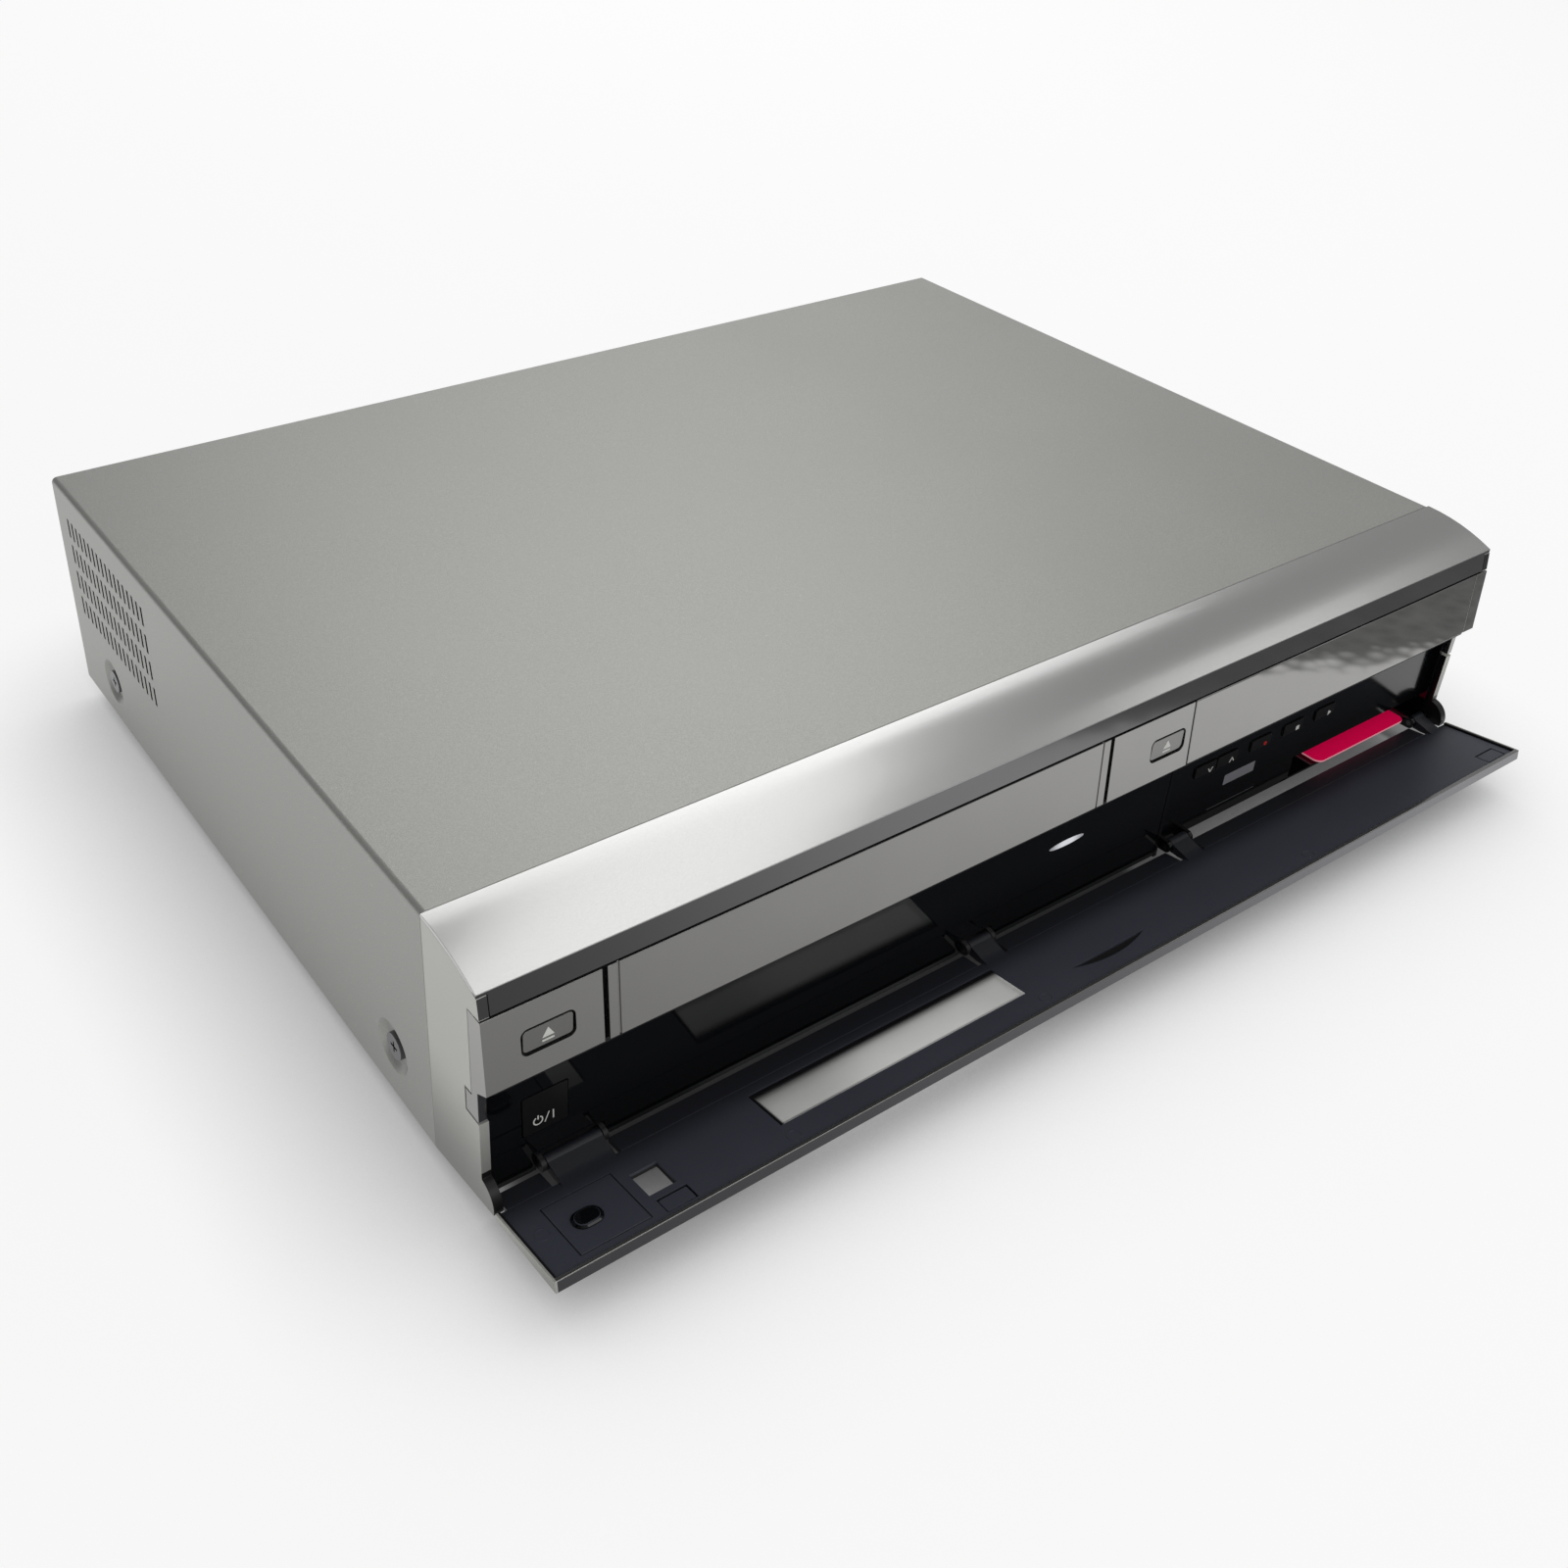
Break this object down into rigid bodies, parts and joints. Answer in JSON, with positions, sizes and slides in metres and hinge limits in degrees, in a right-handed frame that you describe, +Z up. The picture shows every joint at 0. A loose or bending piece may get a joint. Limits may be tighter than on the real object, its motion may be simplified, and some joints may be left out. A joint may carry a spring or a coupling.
{
  "type": "disc and cassette recorder",
  "caption": "Low free-standing recorder with a drop-down front flap, a sprung cassette door, a sliding disc tray, press keys and an access card, with its tape deck and drives inside.",
  "frame": {"origin": "floor under the middle of the object's box with the flap open", "axes": "+X to the right seen from the front, -Y out of the front panel, +Z up"},
  "size_m": [0.43, 0.3608, 0.0955],
  "materials": {
    "pan_steel": "zinc plated",
    "cover_paint": "fine satin paint",
    "screw_steel": "plated",
    "rear_steel": "satin",
    "foot_rubber": "matt",
    "frame_black": "moulded",
    "trim_silver": "metallic lacquer",
    "cheek_silver": "silver lacquer",
    "fascia_gloss": "dark mirror lacquer",
    "panel_black": "polished",
    "control_black": "moulded",
    "display_glass": "dark",
    "board_green": "solder mask",
    "flap_silver": "silver lacquer",
    "liner_black": "moulded",
    "window_clear": "tinted",
    "key_grey": "polished",
    "key_black": "polished",
    "card_red": "laminated",
    "drive_steel": "pressed sheet",
    "deck_steel": "plated",
    "drum_aluminium": "turned",
    "reel_black": "moulded",
    "tray_black": "moulded",
    "gear_white": "moulded",
    "disk_aluminium": "cast",
    "jack_black": "moulded",
    "fan_black": "moulded"
  },
  "bodies": {
    "chassis": {"base_pan": "pan_steel", "top_cover": "cover_paint", "cover_screws": "screw_steel", "rear_panel": "rear_steel", "feet": "foot_rubber", "bezel_frame": "frame_black", "top_trim": "trim_silver", "left_cheek": "cheek_silver", "right_cheek": "cheek_silver", "eject_panel": "fascia_gloss", "middle_panel": "fascia_gloss", "end_panel": "fascia_gloss", "lower_panel": "panel_black", "control_panel": "control_black", "display_tube": "display_glass", "front_board": "board_green", "hinge_pins": "screw_steel", "card_reader": "drive_steel", "deck_plate": "deck_steel", "drum_base": "drum_aluminium", "tape_guides": "deck_steel", "loading_motor": "drive_steel", "carriage_frame": "deck_steel", "drive_frame": "drive_steel", "drive_lid": "drive_steel", "sled_rods": "deck_steel", "hard_disk": "disk_aluminium", "main_board": "board_green", "power_board": "board_green", "tuner": "drive_steel", "rear_jacks": "jack_black", "ac_inlet": "jack_black", "cooling_fan": "fan_black"},
    "flap": {"flap_shell": "flap_silver", "flap_liner": "liner_black", "flap_edge": "liner_black", "flap_window": "window_clear"},
    "flap_key": {"flap_key": "liner_black"},
    "cassette_door": {"cassette_door": "fascia_gloss"},
    "tray": {"disc_tray": "tray_black", "tray_front": "fascia_gloss"},
    "tray_gear": {"tray_gear": "gear_white"},
    "tape_eject_key": {"tape_eject_key": "key_grey"},
    "disc_eject_key": {"disc_eject_key": "key_grey"},
    "power_key": {"power_key": "key_black"},
    "channel_down_key": {"channel_down_key": "key_black"},
    "channel_up_key": {"channel_up_key": "key_black"},
    "record_key": {"record_key": "key_black"},
    "stop_key": {"stop_key": "key_black"},
    "play_key": {"play_key": "key_black"},
    "access_card": {"access_card": "card_red"},
    "head_drum": {"head_drum": "drum_aluminium"},
    "supply_reel": {"supply_reel": "reel_black"},
    "takeup_reel": {"takeup_reel": "reel_black"},
    "capstan": {"capstan": "deck_steel"},
    "carriage_slider": {"carriage_slider": "deck_steel"},
    "cassette_basket": {"cassette_basket": "deck_steel"},
    "turntable": {"turntable": "reel_black"},
    "pickup_sled": {"pickup_sled": "reel_black"},
    "fan_rotor": {"fan_rotor": "fan_black"}
  },
  "joints": [
    {"name": "flap_hinge", "type": "hinge", "parent": "chassis", "child": "flap", "pos_m": [0, -0.14165, 0.0148], "axis": [1, 0, 0], "range_deg": [-81.4, 0]},
    {"name": "flap_key_press", "type": "slide", "parent": "flap", "child": "flap_key", "axis": [0, 0.1495, 0.9888], "range_m": [0, 0.0006], "stiffness_N_per_m": 400},
    {"name": "cassette_door_hinge", "type": "hinge", "parent": "chassis", "child": "cassette_door", "pos_m": [-0.0834, -0.14125, 0.08657], "axis": [1, 0, 0], "range_deg": [0, 92], "stiffness_Nm_per_rad": 0.01, "springref_deg": -11.46},
    {"name": "tray_slide", "type": "slide", "parent": "chassis", "child": "tray", "axis": [0, -1, 0], "range_m": [0, 0.135]},
    {"name": "tray_gear_spin", "type": "hinge", "parent": "chassis", "child": "tray_gear", "pos_m": [0.07666, -0.11185, 0.06187], "axis": [0, 0, 1], "continuous": true},
    {"name": "tape_eject_key_press", "type": "slide", "parent": "chassis", "child": "tape_eject_key", "axis": [0, 1, 0], "range_m": [0, 0.0006], "stiffness_N_per_m": 400},
    {"name": "disc_eject_key_press", "type": "slide", "parent": "chassis", "child": "disc_eject_key", "axis": [0, 1, 0], "range_m": [0, 0.0006], "stiffness_N_per_m": 400},
    {"name": "power_key_press", "type": "slide", "parent": "chassis", "child": "power_key", "axis": [0, 1, 0], "range_m": [0, 0.0006], "stiffness_N_per_m": 400},
    {"name": "channel_down_key_press", "type": "slide", "parent": "chassis", "child": "channel_down_key", "axis": [0, 1, 0], "range_m": [0, 0.0006], "stiffness_N_per_m": 400},
    {"name": "channel_up_key_press", "type": "slide", "parent": "chassis", "child": "channel_up_key", "axis": [0, 1, 0], "range_m": [0, 0.0006], "stiffness_N_per_m": 400},
    {"name": "record_key_press", "type": "slide", "parent": "chassis", "child": "record_key", "axis": [0, 1, 0], "range_m": [0, 0.0006], "stiffness_N_per_m": 400},
    {"name": "stop_key_press", "type": "slide", "parent": "chassis", "child": "stop_key", "axis": [0, 1, 0], "range_m": [0, 0.0006], "stiffness_N_per_m": 400},
    {"name": "play_key_press", "type": "slide", "parent": "chassis", "child": "play_key", "axis": [0, 1, 0], "range_m": [0, 0.0006], "stiffness_N_per_m": 400},
    {"name": "card_slide", "type": "slide", "parent": "chassis", "child": "access_card", "axis": [0, -1, 0], "range_m": [0, 0.005]},
    {"name": "head_drum_spin", "type": "hinge", "parent": "chassis", "child": "head_drum", "pos_m": [-0.0834, 0.07015, 0.03634], "axis": [0, -0.1045, 0.9945], "continuous": true},
    {"name": "supply_reel_spin", "type": "hinge", "parent": "chassis", "child": "supply_reel", "pos_m": [-0.1294, 0.00215, 0.0325], "axis": [0, 0, 1], "continuous": true},
    {"name": "takeup_reel_spin", "type": "hinge", "parent": "chassis", "child": "takeup_reel", "pos_m": [-0.0374, 0.00215, 0.0325], "axis": [0, 0, 1], "continuous": true},
    {"name": "capstan_spin", "type": "hinge", "parent": "chassis", "child": "capstan", "pos_m": [-0.0334, 0.06415, 0.031], "axis": [0, 0, 1], "continuous": true},
    {"name": "carriage_slide", "type": "slide", "parent": "chassis", "child": "carriage_slider", "axis": [0, 1, 0], "range_m": [0, 0.06]},
    {"name": "basket_drop", "type": "slide", "parent": "carriage_slider", "child": "cassette_basket", "axis": [0, 0, -1], "range_m": [0, 0.01597]},
    {"name": "turntable_spin", "type": "hinge", "parent": "chassis", "child": "turntable", "pos_m": [0.1297, -0.07335, 0.05208], "axis": [0, 0, 1], "continuous": true},
    {"name": "sled_slide", "type": "slide", "parent": "chassis", "child": "pickup_sled", "axis": [0, 1, 0], "range_m": [0, 0.036]},
    {"name": "fan_spin", "type": "hinge", "parent": "chassis", "child": "fan_rotor", "pos_m": [-0.027, 0.15535, 0.0635], "axis": [0, 1, 0], "continuous": true}
  ],
  "couplings": [
    {"joint": "tray_gear_spin", "follows": "tray_slide", "rad_per_m": 100}
  ]
}
